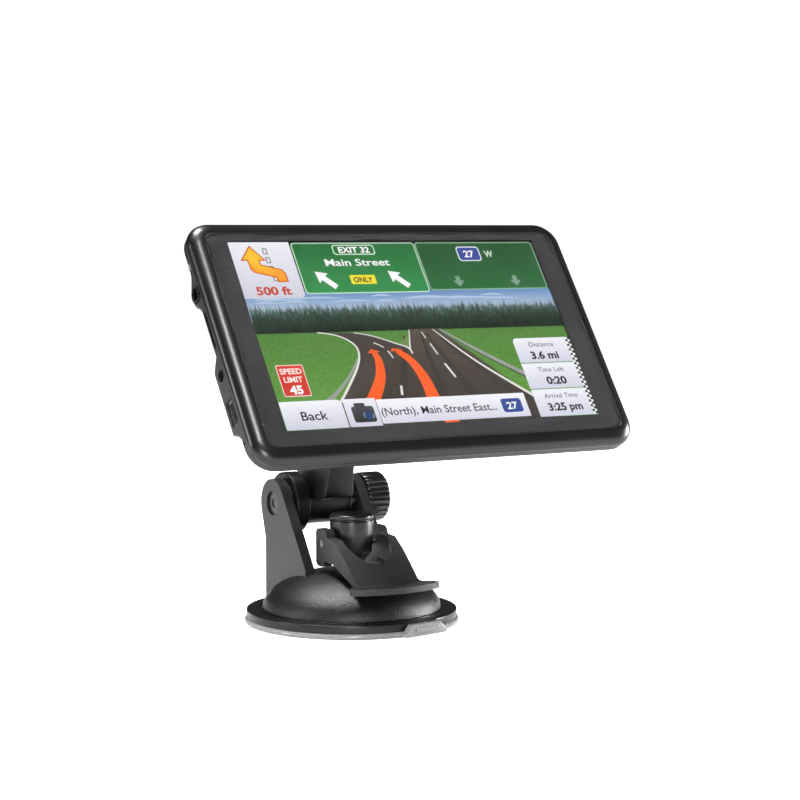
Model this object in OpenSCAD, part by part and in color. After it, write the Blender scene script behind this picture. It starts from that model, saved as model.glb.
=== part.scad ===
// Portable gps navigator on a suction base, clip and ball arm. Millimetres, +Z up.
// Origin: centre of the suction cup's sealing face. -Y is the front.

/* [Unit] */
// Width of the case
case_w = 132; // [130:0.5:136]
// Height of the case
case_h = 82.6; // [82:0.2:86]
// Corner radius of the case
case_r = 8; // [7.6:0.1:8.4]
// How far the case centre sits below the display centre
case_drop = 1.1; // [0.8:0.1:1.4]
// Depth of the thin edge of the case
edge_d = 7; // [7:0.1:8]
// Depth of the case at its middle
mid_d = 12.5; // [12.3:0.1:13]
// Depth of the bezel's side
bezel_d = 3.9; // [3.7:0.1:4.2]
// Wall of the rear cover
wall = 1.4; // [1.2:0.1:1.6]
// Tilt of the screen from upright
tilt = 35.4; // [30:0.1:40]
// Forward offset of the display centre
unit_y = -40.6; // [-44:0.1:-38]
// Height of the display centre
unit_z = 95.1; // [92:0.1:100]

/* [Ball joint] */
// Ball radius
ball_r = 8.5; // [8.4:0.05:8.6]
// Ball centre behind the glass
ball_d = 25.5; // [25:0.1:26]
// Running gap at the ball
ball_gap = 0.05; // [0.04:0.01:0.08]

/* [Fork] */
// Half width over the arms
fork_x = 15.64; // [15.4:0.01:16]
// Thickness of an arm
arm_t = 3.37; // [3:0.01:3.5]
// Pivot position behind the cup's centre
piv_y = 25; // [24.5:0.1:25.5]
// Pivot height
piv_z = 36; // [35.5:0.1:36.5]
// Radius of an arm's head
head_r = 8; // [7.8:0.1:8.2]
// Radius of the barrel
barrel_r = 7.5; // [7.2:0.1:7.7]
// Radius of the clamp bolt
bolt_r = 2; // [1.8:0.1:2.1]
// Radius of the knob
knob_r = 8.26; // [8:0.01:8.6]
// Ribs round the knob
ribs = 26; // [20:1:30]

/* [Base] */
// Radius of the suction cup
cup_r = 34.4; // [34:0.1:36]
// Thickness of the suction cup's rim
cup_t = 1.8; // [1.6:0.1:2]
// Radius of the flange plate
flange_r = 33.72; // [33.4:0.02:33.9]
// Top of the flange plate
flange_z = 4.28; // [4.2:0.02:4.5]
// Radius of the domed cover
dome_r = 28.63; // [28.4:0.01:29]
// Height of the domed cover
dome_h = 12.95; // [12.8:0.05:13.1]
// Radius of the plunger's head
post_r = 7; // [6.8:0.1:7.2]
// Radius of the plunger's shaft
shaft_r = 4.2; // [4:0.1:4.3]
// Height of the lever's pin
pin_z = 25.5; // [25.3:0.1:25.7]
// Radius of the lever's pin
pin_r = 1.25; // [1.2:0.05:1.4]
// Half width of the lever's ears
ear_x = 11.2; // [11:0.1:11.4]
// Half width of the lever's lip
lip_x = 15.8; // [15:0.1:16]

/* [Colours] */
// Red, green and blue of the dark mouldings
dark = [0.07, 0.07, 0.075]; // [0:0.01:1]
// Red, green and blue of the grey mouldings
grey = [0.2, 0.2, 0.21]; // [0:0.01:1]
// Red, green and blue of bright metal
steel = [0.7, 0.7, 0.72]; // [0:0.01:1]
// Red, green and blue of the circuit board
green = [0.05, 0.3, 0.14]; // [0:0.01:1]

/* [Hidden] */
$fn = 64;
eps = 0.01;
corner_x = case_w / 2 - case_r;
corner_y = case_h / 2 - case_r;
glass_in = 3.3;
glass_w = 2 * (corner_x + glass_in) - 0.3;
glass_h = 2 * (corner_y + glass_in) - 0.3;
glass_top = 0.05;
ledge = 0.9;
ledge_d = 2;
lcd_w = 116.8;
lcd_h = 67.6;
plateau_w = 96;
plateau_h = 56;
plateau_flare = 8;
plateau_y = -1;
jack_y = 18.2;
jack_z = -6.6;
jack_r = 2.2;
ring_r = 2.6;
mic_y = 31.2;
mic_z = -5.5;
pocket = -5.5;
av_y = -9.8;
usb_y = -22;
slot_y = 4.8;
card_z = -5.05;
port_x = -64.2;
screw_x = 60.8;
screw_y = 36.5;
button_x = 46;
hook_x = 18;
speaker_x = 31;
speaker_y = 10.6;
hook_y = -22;
clip_z = -15.7;
clip_front = -12.7;
gap_x = fork_x - arm_t;
// side outline of the neck: up the front, over the ball's shaft and down the back
elbow = [
  [8.2, 38.2], [6.2, 48], [4.6, 53], [-13.8, 68.1],
  [-6.3, 78.7], [20.4, 63.2], [26, 57], [28, 48], [30, 37]
];
// side outline of a fork arm below its round head
arm_side = [[29.7, 4.3], [29.7, 24], [32.8, 34], [25, 36], [18.45, 40.6], [2.2, 17], [2.2, 4.3]];
// side outline of an ear: back, rounded top, step down to the face, slope to the lip, underside
lever_side = [
  [3.3, 19.4], [3.3, 29.2], [2.5, 30.2], [-2.4, 30.2], [-3.5, 29.2], [-4, 27.8], [-8.6, 27.4], [-13, 24.4],
  [-18, 20.1], [-22.4, 16], [-23.6, 14.6], [-21, 14.6], [-8.2, 19.8], [-2.6, 20.2], [-1.4, 18.4], [0.5, 18.1],
  [2.4, 18.4]
];
// side outline of the face between the ears
lever_plate = [
  [-4, 27.8], [-8.6, 27.4], [-13, 24.4], [-18, 20.1], [-22.4, 16], [-24, 14.6], [-24, 12.8],
  [-22.4, 13.6], [-14.4, 20.7], [-8.4, 25], [-4, 25.6]
];
ear_in = 8.1;
lip_r = 32.4;
lip_c = 0.3;
lip_back = -23.4;
lip_low = 13.2;
lip_high = 15.2;
dome_steps = 16;
dome_wall = 1.8;
puck_r = 11.6;
fit_gap = 0.05;
coil_r = 6.6;
collar_r = 10;
coil_wire = 0.5;
coils = 5;
dome_screw = [[-19, -10], [19, -10], [0, -22]];
foot_screw = [[-7, 20], [7, 20]];

module on_unit() {
  translate([0, unit_y, unit_z]) rotate([90 - tilt, 0, 0]) children();
}

module on_ball() {
  on_unit() translate([0, 0, -ball_d]) children();
}

// rounded rectangle centred on the case
module rrect(w, h, r) {
  translate([0, -case_drop]) {
    square([w - 2 * r, h], center = true);
    square([w, h - 2 * r], center = true);
    for (x = [-1, 1], y = [-1, 1]) translate([x * (w / 2 - r), y * (h / 2 - r)]) circle(r);
  }
}

module slab(w, h, r, low, high) {
  translate([0, 0, low]) linear_extrude(high - low) rrect(w, h, r);
}

// box given by its low corner and its high corner
module span(a, b) {
  translate(a) cube(b - a);
}

module bezel_section() {
  polygon([
    [glass_in, -ledge], [glass_in, 0.1], [4.6, -0.05], [5.9, -0.5], [7, -1.3], [7.7, -2.35],
    [case_r, -3.5], [case_r, -bezel_d], [6.6, -bezel_d], [6.6, -ledge_d], [0.8, -ledge_d], [0.8, -ledge]
  ]);
}

module front_bezel() {
  color(dark) on_unit() {
    difference() {
      translate([0, -case_drop, 0]) {
        for (q = [[1, 1, 0], [-1, 1, 90], [-1, -1, 180], [1, -1, 270]])
          translate([q[0] * corner_x, q[1] * corner_y, 0]) rotate([0, 0, q[2]])
            rotate_extrude(angle = 90) bezel_section();
        for (s = [0, 180]) rotate([0, 0, s]) translate([corner_x, corner_y, 0]) rotate([90, 0, 0])
          linear_extrude(2 * corner_y) bezel_section();
        for (s = [90, 270]) rotate([0, 0, s]) translate([corner_y, corner_x, 0]) rotate([90, 0, 0])
          linear_extrude(2 * corner_x) bezel_section();
      }
      translate([-glass_w / 2 - 0.9, 31, -ledge + eps]) cylinder(r = 0.5, h = 3);
    }
    for (x = [-1, 1], y = [-1, 1])
      translate([x * screw_x, y * screw_y - case_drop, -edge_d + wall + 0.1]) difference() {
      cylinder(r = 2, h = edge_d - wall - 1.5);
      translate([0, 0, -1]) cylinder(r = 0.8, h = 4.4);
    }
  }
}

module touch_glass() {
  color([0.1, 0.1, 0.1]) on_unit() slab(glass_w, glass_h, glass_in - 0.15, -ledge, -glass_top);
}

module lcd_panel() {
  color([0.2, 0.3, 0.25]) on_unit() slab(lcd_w, lcd_h, 1, -1.9, -ledge - 0.05);
}

module backlight() {
  color(steel) on_unit() {
    difference() {
      slab(lcd_w, lcd_h, 1, -4.15, -1.95);
      slab(lcd_w - 6, lcd_h - 6, 1, -5, -3.75);
    }
  }
}

module mid_plate() {
  color(steel) on_unit() difference() {
    span([-49, -34, -4.95], [57, 31, -4.2]);
    for (x = [-30, 0, 30]) translate([x, 24, -6]) cylinder(r = 3, h = 4);
    span([20, -34, -6], [50, -22, -3]);
  }
}

module main_board() {
  color(green) on_unit() difference() {
    span([-50, -24, -6.4], [45, 22, -5.4]);
    for (x = [-36, 36], y = [-20, 18]) translate([x, y, -8]) cylinder(r = 1.2, h = 4);
    span([-51, 13.9, -8], [-46, 23, -4]);
  }
}

module board_chips() {
  color([0.05, 0.05, 0.05]) on_unit() {
    span([-40, 12.6, -7.6], [-29, 21, -6.4]);
    span([-25, 13, -7.4], [-15, 20, -6.4]);
    span([20, -21.5, -7.2], [27, -16, -6.4]);
    span([30, -22, -5.4], [40, -16, -5.05]);
  }
}

module shield_can() {
  color(steel) on_unit() difference() {
    span([14, -14.6, -8.4], [42, -1.4, -6.4]);
    span([14.3, -14.3, -8.1], [41.7, -1.7, -6]);
    for (i = [0:4]) translate([18 + i * 5, -8, -9]) cylinder(r = 1, h = 2);
  }
}

module battery() {
  color([0.3, 0.32, 0.36]) on_unit() {
    span([-40, -17, -10.9], [8, 11, -6.9]);
    span([8, -6, -9.4], [10, 4, -7.2]);
  }
}

module speaker() {
  color(steel) on_unit() translate([speaker_x, speaker_y, -10.9]) {
    difference() {
      cylinder(r = 11, h = 2.2);
      translate([0, 0, -1]) cylinder(r = 9.4, h = 1.8);
    }
    translate([0, 0, 2.2]) cylinder(r = 6, h = 1.9);
  }
}

module gps_antenna() {
  color([0.75, 0.7, 0.6]) on_unit() {
    span([-10.5, 12.4, -10.4], [2, 21.9, -7.4]);
    translate([-4.2, 17.2, -10.7]) cylinder(r = 3.6, h = 0.3);
    span([-10.5, 12.4, -7.4], [2, 21.9, -6.4]);
  }
}

module microphone() {
  color(steel) on_unit() translate([port_x, mic_y, mic_z]) rotate([0, 90, 0]) cylinder(r = 0.9, h = 2.2);
}

module status_lens() {
  color([0.8, 0.8, 0.8]) on_unit() {
    span([-case_w / 2 + 0.1, 26.2, -6.2], [port_x, 28, -5.2]);
    span([port_x, 25.8, pocket], [port_x + 1, 28.4, -4.9]);
  }
}

// barrel of a round socket with a flat top that meets the board
module jack_body(y) {
  translate([port_x, y, jack_z]) rotate([0, 90, 0]) cylinder(r = jack_r, h = -50.5 - port_x);
  span([port_x, y - jack_r, jack_z], [-50.5, y + jack_r, jack_z + 1.55]);
}

module headphone_jack() {
  color(dark) on_unit() difference() {
    union() {
      jack_body(jack_y);
      translate([-case_w / 2 - 0.1, jack_y, jack_z]) rotate([0, 90, 0]) cylinder(r = ring_r, h = 1.95);
    }
    translate([-case_w / 2 - 1, jack_y, jack_z]) rotate([0, 90, 0]) cylinder(r = 1.8, h = 14);
  }
}

module card_socket() {
  color(steel) on_unit() difference() {
    span([port_x, -3.2, pocket - 0.05], [-50.5, 12.8, -4.45]);
    span([port_x - 1, slot_y - 5.7, card_z - 0.38], [-52.2, slot_y + 5.7, card_z + 0.45]);
  }
}

module memory_card() {
  color(dark) on_unit() {
    span([port_x - 0.9, slot_y - 5.5, card_z - 0.33], [-52.4, slot_y + 5.5, card_z + 0.35]);
    span([port_x - 0.9, slot_y - 5.5, card_z + 0.35], [port_x - 0.3, slot_y + 5.5, card_z + 0.43]);
  }
}

module av_jack() {
  color(dark) on_unit() difference() {
    jack_body(av_y);
    translate([port_x - 1, av_y, jack_z]) rotate([0, 90, 0]) cylinder(r = 1.35, h = 11);
  }
}

module usb_port() {
  color(steel) on_unit() {
    difference() {
      span([port_x - 0.9, usb_y - 3.9, jack_z - 2], [-55, usb_y + 3.9, jack_z + 1.9]);
      span([port_x - 2, usb_y - 3.4, jack_z - 1.5], [-56, usb_y + 3.4, jack_z + 1.4]);
    }
    span([-62.6, usb_y - 2.6, jack_z - 0.4], [-56, usb_y + 2.6, jack_z + 0.4]);
  }
}

module power_switch() {
  color(steel) on_unit() {
    span([button_x - 3.2, 32.2, pocket - 0.05], [button_x + 3.2, 35.1, -4.3]);
    translate([button_x, 35.1, -5.05]) rotate([-90, 0, 0]) cylinder(r = 0.6, h = 0.9);
  }
}

module power_button() {
  color(dark) on_unit() {
    span([button_x - 4.3, 37.4, pocket], [button_x + 4.3, 40.6, -4.4]);
    span([button_x - 5.3, 36.6, pocket], [button_x + 5.3, 37.4 + eps, -4.35]);
  }
}

module plateau(shrink, low, top) {
  translate([0, plateau_y, 0]) hull() {
    translate([0, 0, -top]) linear_extrude(eps)
      square([plateau_w + plateau_flare - 2 * shrink, plateau_h + plateau_flare / 2 - 2 * shrink],
        center = true);
    translate([0, 0, -low]) linear_extrude(eps)
      square([plateau_w - 2 * shrink, plateau_h - 2 * shrink], center = true);
  }
}

// raised block round the sockets, from x0 inwards; its hollow is the same block, shrunk and brought forwards
module pod(top, low, depth, shrink, x0) {
  front = shrink > 0 ? pocket : -edge_d + 1;
  translate([x0, 0, 0]) rotate([90, 0, 90]) linear_extrude(-46 - x0) polygon([
    [low - 2.2 + shrink, front], [low + shrink, -depth + shrink],
    [top - shrink, -depth + shrink], [top + 4 - shrink, front]
  ]);
}

// hole through the left wall
module side_bore(y, z, r) {
  translate([-case_w / 2 - 1, y, z]) rotate([0, 90, 0]) cylinder(r = r, h = 3);
}

module rear_cover() {
  color(dark) on_unit() difference() {
    union() {
      slab(case_w - 0.4, case_h - 0.4, case_r - 0.2, -edge_d + 1, -bezel_d - 0.05);
      slab(case_w - 2, case_h - 2, case_r - 1, -edge_d, -edge_d + 1);
      plateau(0, mid_d, edge_d - 0.4);
      pod(19.5, 16.6, 10.4, 0, -case_w / 2 + 0.3);
      pod(-8, -27.4, 11, 0, -case_w / 2 + 0.3);
    }
    slab(case_w - 2 * wall - 0.8, case_h - 2 * wall - 0.8, case_r - wall - 0.2, -edge_d + wall, 0);
    plateau(wall, mid_d - wall, edge_d - wall - 0.4);
    pod(19.5, 16.6, 10.4, 0.7, port_x);
    pod(-8, -27.4, 11, 1.2, port_x);
    side_bore(jack_y, jack_z, ring_r + 0.15);
    side_bore(av_y, jack_z, 1.8);
    side_bore(mic_y, mic_z, 0.58);
    side_bore(-33, -5.4, 0.5);
    span([port_x, mic_y - 0.95, mic_z - 0.95], [port_x + 2.4, mic_y + 0.95, -5]);
    span([-case_w / 2 - 1, usb_y - 4, jack_z - 2.1], [port_x + 1, usb_y + 4, jack_z + 2]);
    span([-case_w / 2 - 1, slot_y - 6.2, card_z - 0.6], [port_x + 1, slot_y + 6.2, card_z + 0.7]);
    span([-case_w / 2 - 1, 26.2, -6.2], [port_x + 1, 28, -5.2]);
    span([button_x - 4.6, 37, -5.8], [button_x + 4.6, 42, -4.2]);
    for (x = [-1, 1], y = [-1, 1]) translate([x * screw_x, y * screw_y - case_drop, -edge_d - 1]) {
      cylinder(r = 0.85, h = 4);
      cylinder(r = 1.7, h = 1.6);
    }
    for (ring = [0:2], a = [0:max(0, 6 * ring - 1)])
      translate([speaker_x, speaker_y, -mid_d - 1]) rotate([0, 0, 60 * a / max(ring, 1)])
        translate([3.2 * ring, 0, 0]) cylinder(r = 0.7, h = 3);
    for (s = [-1, 1])
      span([s * hook_x - 3.2, hook_y - 1.2, -mid_d - 1], [s * hook_x + 3.2, hook_y + 2.4, -mid_d + 2]);
    span([-6.4, 22.6, -mid_d - 1], [6.4, 24.8, -mid_d + 2]);
  }
}

module cover_screws() {
  color(steel) on_unit()
    for (x = [-1, 1], y = [-1, 1]) translate([x * screw_x, y * screw_y - case_drop, -edge_d]) difference() {
      union() {
        translate([0, 0, -0.1]) cylinder(r = 1.5, h = 0.7);
        cylinder(r = 0.8, h = 4.4);
      }
      translate([0, 0, -0.6]) cylinder(r = 0.7, h = 0.9, $fn = 6);
    }
}

module clip_plate() {
  color(dark) on_unit() {
    difference() {
      union() {
        span([-30, -26, clip_z], [30, 22, clip_front]);
        translate([0, 0, -32]) cylinder(r = 13.4, h = 17);
        for (x = [-1, 1]) span([x * 22 - 1, -20, clip_z - 2.5], [x * 22 + 1, 16, clip_z + 0.5]);
      }
      translate([0, 0, -ball_d]) sphere(r = ball_r + ball_gap + 1.55);
      translate([0, 0, -33]) cylinder(r = 7.75, h = 5);
      span([-8.4, 12.4 + eps, clip_z - 1], [8.4, 30, clip_front + 1]);
      for (a = [30, 90, 150]) rotate([0, 0, a]) span([-15, -0.7, -32.5], [15, 0.7, -24]);
    }
    for (s = [-1, 1]) {
      span([s * hook_x - 2.9, hook_y + 0.1, clip_front - 1], [s * hook_x + 2.9, hook_y + 1.9, -9.9]);
      span([s * hook_x - 2.9, hook_y - 2.4, -10.9], [s * hook_x + 2.9, hook_y + 0.2, -9.9]);
    }
    for (s = [-1, 1]) span([s * 10.4 - 2, 12.6, -16.4], [s * 10.4 + 2, 15.4, -14.7]);
  }
}

module latch_tab() {
  color(dark) on_unit() difference() {
    union() {
      span([-8, 12.8, -14.8], [8, 31, -13.2]);
      span([-5.9, 22.9, -13.3], [5.9, 24.4, -11.4]);
      translate([-8, 14, -14]) rotate([0, 90, 0]) cylinder(r = 1.1, h = 16);
      span([-8, 30, -16.4], [8, 31.4, -13.2]);
    }
    for (i = [0:2]) span([-6, 25.8 + 1.4 * i, -15.2], [6, 26.4 + 1.4 * i, -14.5]);
  }
}

module socket_liner() {
  color([0.85, 0.85, 0.83]) on_ball() difference() {
    intersection() {
      sphere(r = ball_r + ball_gap + 1.5);
      translate([0, 0, -5]) cylinder(r = 12, h = 10);
    }
    sphere(r = ball_r + ball_gap);
    translate([0, -0.6, -6]) cube([12, 1.2, 12]);
  }
}

module neck_arm() {
  color(grey) difference() {
    union() {
      on_ball() sphere(r = ball_r);
      on_ball() translate([0, 0, -14]) cylinder(r = 4.2, h = 8);
      intersection() {
        translate([-8, 0, 0]) rotate([90, 0, 90]) linear_extrude(16) polygon(elbow);
        translate([0, 60, 0]) rotate([90, 0, 0]) linear_extrude(100)
          polygon([[-5.5, 36], [5.5, 36], [4.5, 50], [4.3, 90], [-4.3, 90], [-4.5, 50]]);
      }
      translate([-11.4, piv_y, piv_z]) rotate([0, 90, 0]) cylinder(r = collar_r, h = 4.9);
      translate([-11.4, piv_y, piv_z]) rotate([0, 90, 0]) cylinder(r = barrel_r, h = 20.8);
    }
    translate([-20, piv_y, piv_z]) rotate([0, 90, 0]) cylinder(r = bolt_r + 0.08, h = 40);
  }
}

module tooth_ring() {
  color([0.12, 0.12, 0.12]) translate([9.4, piv_y, piv_z]) rotate([0, 90, 0]) difference() {
    cylinder(r = barrel_r, h = 2.5);
    translate([0, 0, -1]) cylinder(r = bolt_r + 0.08, h = 5);
    for (i = [0:17]) rotate([0, 0, 20 * i]) translate([4, -0.55, 1.1]) cube([6, 1.1, 3]);
  }
}

module arm(x) {
  translate([x, 0, 0]) {
    rotate([90, 0, 90]) linear_extrude(arm_t) polygon(arm_side);
    translate([0, piv_y, piv_z]) rotate([0, 90, 0]) cylinder(r = head_r, h = arm_t);
  }
}

module fork_bracket() {
  color(grey) difference() {
    union() {
      arm(-fork_x);
      arm(gap_x);
      span([-gap_x - 1, 12.8, flange_z + 0.02], [gap_x + 1, 29.7, flange_z + 3]);
    }
    translate([-fork_x - 1, piv_y, piv_z]) rotate([0, 90, 0]) cylinder(r = bolt_r + 0.05, h = 40);
    translate([-fork_x - 1, piv_y, piv_z]) rotate([0, 90, 0]) cylinder(r = 3.9, h = 2.8);
    translate([0, 0, flange_z - 1]) cylinder(r = puck_r + 0.6, h = 6);
    for (p = foot_screw) translate([p[0], p[1], flange_z - 1]) cylinder(r = 1.2, h = 6);
  }
}

module friction_washer() {
  color([0.5, 0.4, 0.3]) translate([-gap_x + 0.02, piv_y, piv_z]) rotate([0, 90, 0]) difference() {
    cylinder(r = barrel_r - 0.3, h = 0.6);
    translate([0, 0, -1]) cylinder(r = bolt_r + 0.05, h = 3);
  }
}

module clamp_bolt() {
  color(steel) translate([0, piv_y, piv_z]) rotate([0, 90, 0]) {
    difference() {
      translate([0, 0, -14.9]) cylinder(r = 3.75, h = 1.05);
      translate([0, 0, -15.5]) cylinder(r = 1.6, h = 1.2, $fn = 6);
    }
    translate([0, 0, -14.6]) cylinder(r = bolt_r, h = 36.2);
  }
}

module thrust_washer() {
  color(steel) translate([fork_x + 0.02, piv_y, piv_z]) rotate([0, 90, 0]) difference() {
    cylinder(r = 6, h = 0.5);
    translate([0, 0, -1]) cylinder(r = bolt_r + 0.1, h = 3);
  }
}

module knob() {
  color(grey) translate([0, piv_y, piv_z]) rotate([0, 90, 0]) difference() {
    rotate_extrude() polygon([
      [3, 16.25], [knob_r - 0.4, 16.25], [knob_r, 16.6], [knob_r, 23.9], [knob_r - 0.3, 24.6],
      [knob_r - 1.1, 25.1], [5.6, 25.1], [5.2, 24.3], [0, 24.3], [0, 21.9], [3, 21.9]
    ]);
    translate([0, 0, 17]) cylinder(r = 4.1, h = 3.6, $fn = 6);
    for (i = [0:ribs - 1]) rotate([0, 0, i * 360 / ribs])
      translate([knob_r + 0.1, 0, 15]) cylinder(r = 0.5, h = 12);
  }
}

module knob_insert() {
  color([0.75, 0.6, 0.3]) translate([17, piv_y, piv_z]) rotate([0, 90, 0]) difference() {
    cylinder(r = 4.05, h = 3.5, $fn = 6);
    translate([0, 0, -1]) cylinder(r = bolt_r + 0.05, h = 6);
  }
}

module knob_cap() {
  color(steel) translate([24.32, piv_y, piv_z]) rotate([0, 90, 0]) difference() {
    cylinder(r = 5.1, h = 0.5);
    translate([0, 0, 0.3]) cylinder(r = 4.2, h = 1);
  }
}

module dome(r, h) {
  side = [for (i = [0:dome_steps - 1]) [r * cos(90 * i / dome_steps), h * sin(90 * i / dome_steps)]];
  translate([0, 0, flange_z]) rotate_extrude() polygon(concat([[0, 0]], side, [[0, h]]));
}

module base_cover() {
  color(dark) difference() {
    union() {
      difference() {
        dome(dome_r, dome_h);
        translate([0, 0, -eps]) dome(dome_r - dome_wall, dome_h - dome_wall);
      }
      intersection() {
        dome(dome_r, dome_h);
        for (p = dome_screw) translate([p[0], p[1], flange_z]) cylinder(r = 2.8, h = dome_h);
      }
      translate([0, 0, 12.6]) cylinder(r = 6, h = 4.4);
    }
    translate([0, 0, 1]) cylinder(r = shaft_r + fit_gap, h = 30);
    for (p = dome_screw) translate([p[0], p[1], 1]) cylinder(r = 1.2, h = 7.6);
    for (s = [-1, 1]) translate([s * (fork_x - arm_t / 2), 0, 0])
      span([-arm_t / 2 - 0.1, 2, 1], [arm_t / 2 + 0.1, 31, 30]);
    span([-gap_x - 1.2, 18, 1], [gap_x + 1.2, 31, flange_z + 3.2]);
  }
}

module base_plate() {
  color(grey) difference() {
    translate([0, 0, cup_t]) cylinder(r = flange_r, h = flange_z - cup_t);
    translate([0, 0, 1]) cylinder(r = puck_r + 0.5, h = 6);
    for (p = concat(dome_screw, foot_screw)) translate([p[0], p[1], 1]) {
      cylinder(r = 1.25, h = 6);
      cylinder(r = 2.4, h = 2);
    }
    translate([0, 0, flange_z - 0.35]) difference() {
      cylinder(r = dome_r + 1, h = 1);
      translate([0, 0, -1]) cylinder(r = dome_r + 0.3, h = 3);
    }
    rotate([0, 0, 11]) span([-6.4, -36, 1], [6.4, -33.2, 6]);
  }
}

module base_screws() {
  color(steel) for (p = concat(dome_screw, foot_screw)) translate([p[0], p[1], cup_t + 0.05]) difference() {
    union() {
      cylinder(r = 2.3, h = 1.1);
      cylinder(r = 1.2, h = 5);
    }
    translate([0, 0, -1]) cylinder(r = 1, h = 1.5, $fn = 6);
  }
}

module suction_cup() {
  color([0.8, 0.82, 0.8, 0.5]) {
    rotate_extrude() polygon([
      [puck_r + 0.6, 0.8], [25, 0.6], [29, 0], [cup_r - 0.5, 0], [cup_r, 0.5], [cup_r, 1.2],
      [cup_r - 0.5, cup_t - 0.02], [puck_r + 0.6, cup_t - 0.02]
    ]);
    rotate([0, 0, 11]) {
      span([-8.4, -36.6, 0.3], [8.4, -32, 1.5]);
      span([-6, -36.2, 1], [6, -33.4, 4.1]);
      span([-5.2, -37, 1.6], [5.2, -36.1, 3.3]);
    }
  }
}

module cup_disc() {
  color([0.8, 0.82, 0.8]) difference() {
    translate([0, 0, 3]) cylinder(r = puck_r, h = 1.6);
    translate([0, 0, 2]) cylinder(r = 8, h = 1.5);
  }
}

module plunger() {
  color(grey) difference() {
    union() {
      translate([0, 0, 4.62]) cylinder(r = shaft_r, h = 16);
      translate([0, 0, 4.62]) cylinder(r = 7.6, h = 1);
      translate([0, 0, 19.8]) cylinder(r1 = shaft_r, r2 = post_r, h = 7.8);
      translate([0, 0, 27.6 - eps]) cylinder(r = post_r, h = 5.2);
      translate([0, 0, 32.4]) cylinder(r = post_r - 0.5, h = 0.8);
      translate([0, 0, 33]) cylinder(r = post_r, h = 1);
      translate([0, 0, 34]) cylinder(r1 = post_r, r2 = post_r - 0.6, h = 0.5);
    }
    translate([-20, 0, pin_z]) rotate([0, 90, 0]) cylinder(r = pin_r + fit_gap, h = 40);
  }
}

module return_spring() {
  color(steel) for (i = [0:coils - 1]) translate([0, 0, 6.3 + i * 1.3])
    rotate_extrude() translate([coil_r, 0]) circle(coil_wire);
}

module lever() {
  color(grey) difference() {
    union() {
      for (x = [-ear_x, ear_in]) translate([x, 0, 0]) rotate([90, 0, 90])
        linear_extrude(ear_x - ear_in) polygon(lever_side);
      translate([-ear_x + 0.5, 0, 0]) rotate([90, 0, 90]) linear_extrude(2 * ear_x - 1) polygon(lever_plate);
      translate([0, 0, lip_low]) linear_extrude(lip_high - lip_low) intersection() {
        translate([0, lip_c]) circle(lip_r);
        polygon([
          [-lip_x, -40], [lip_x, -40], [lip_x, lip_back - 4], [lip_x - 1.2, lip_back - 1.5],
          [lip_x - 4, lip_back], [4 - lip_x, lip_back], [1.2 - lip_x, lip_back - 1.5], [-lip_x, lip_back - 4]
        ]);
      }
    }
    translate([0, -9.3, 10]) cylinder(r = ear_in, h = 30);
    translate([-ear_in, -9.3, 10]) cube([2 * ear_in, 20, 30]);
    translate([-20, 0, pin_z]) rotate([0, 90, 0]) cylinder(r = pin_r, h = 40);
    for (i = [0:1]) translate([0, 0, lip_high - 0.3]) intersection() {
      difference() {
        translate([0, lip_c, 0]) cylinder(r = lip_r - 1.4 - 1.6 * i, h = 2);
        translate([0, lip_c, -1]) cylinder(r = lip_r - 1.9 - 1.6 * i, h = 4);
      }
      translate([-lip_x + 1, -40, -1]) cube([2 * lip_x - 2, 40 + lip_back - 1, 4]);
    }
  }
}

module lever_pin() {
  color(steel) translate([-ear_x + 0.2, 0, pin_z]) rotate([0, 90, 0])
    cylinder(r = pin_r, h = 2 * ear_x - 0.4);
}

front_bezel();
touch_glass();
lcd_panel();
backlight();
mid_plate();
main_board();
board_chips();
shield_can();
battery();
speaker();
gps_antenna();
microphone();
status_lens();
headphone_jack();
card_socket();
memory_card();
av_jack();
usb_port();
power_switch();
power_button();
rear_cover();
cover_screws();
clip_plate();
latch_tab();
socket_liner();
neck_arm();
tooth_ring();
fork_bracket();
friction_washer();
clamp_bolt();
thrust_washer();
knob();
knob_insert();
knob_cap();
base_cover();
base_plate();
base_screws();
suction_cup();
cup_disc();
plunger();
return_spring();
lever();
lever_pin();
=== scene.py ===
"""Portable gps navigator on its suction base: the looks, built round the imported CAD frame.

Sizes are in millimetres in the row frame, or in the unit's own frame (x right, y up, z out of
the glass, origin at the display's centre), and turn into metres where a mesh is made.
"""
import math
import random

import bmesh
import bpy
from mathutils import Matrix, Vector


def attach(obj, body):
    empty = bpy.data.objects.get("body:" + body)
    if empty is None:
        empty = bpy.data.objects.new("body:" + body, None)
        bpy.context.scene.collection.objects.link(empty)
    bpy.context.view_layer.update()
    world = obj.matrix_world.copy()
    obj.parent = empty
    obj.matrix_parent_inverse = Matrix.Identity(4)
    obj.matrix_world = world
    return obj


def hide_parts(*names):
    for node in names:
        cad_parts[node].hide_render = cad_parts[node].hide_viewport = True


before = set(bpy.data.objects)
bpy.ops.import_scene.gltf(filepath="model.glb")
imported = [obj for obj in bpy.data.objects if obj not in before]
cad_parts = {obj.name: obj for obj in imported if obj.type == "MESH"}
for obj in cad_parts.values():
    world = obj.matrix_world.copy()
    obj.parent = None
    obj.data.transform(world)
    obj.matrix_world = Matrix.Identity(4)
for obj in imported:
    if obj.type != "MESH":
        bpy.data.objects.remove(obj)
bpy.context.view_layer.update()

MM = 0.001
TILT = 35.4
UNIT_AT = (0.0, -40.6, 95.1)
UNIT = Matrix.Translation(UNIT_AT) @ Matrix.Rotation(math.radians(90 - TILT), 4, "X")
WORLD = Matrix.Identity(4)
BALL_D, BALL_R = 25.5, 8.5

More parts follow.
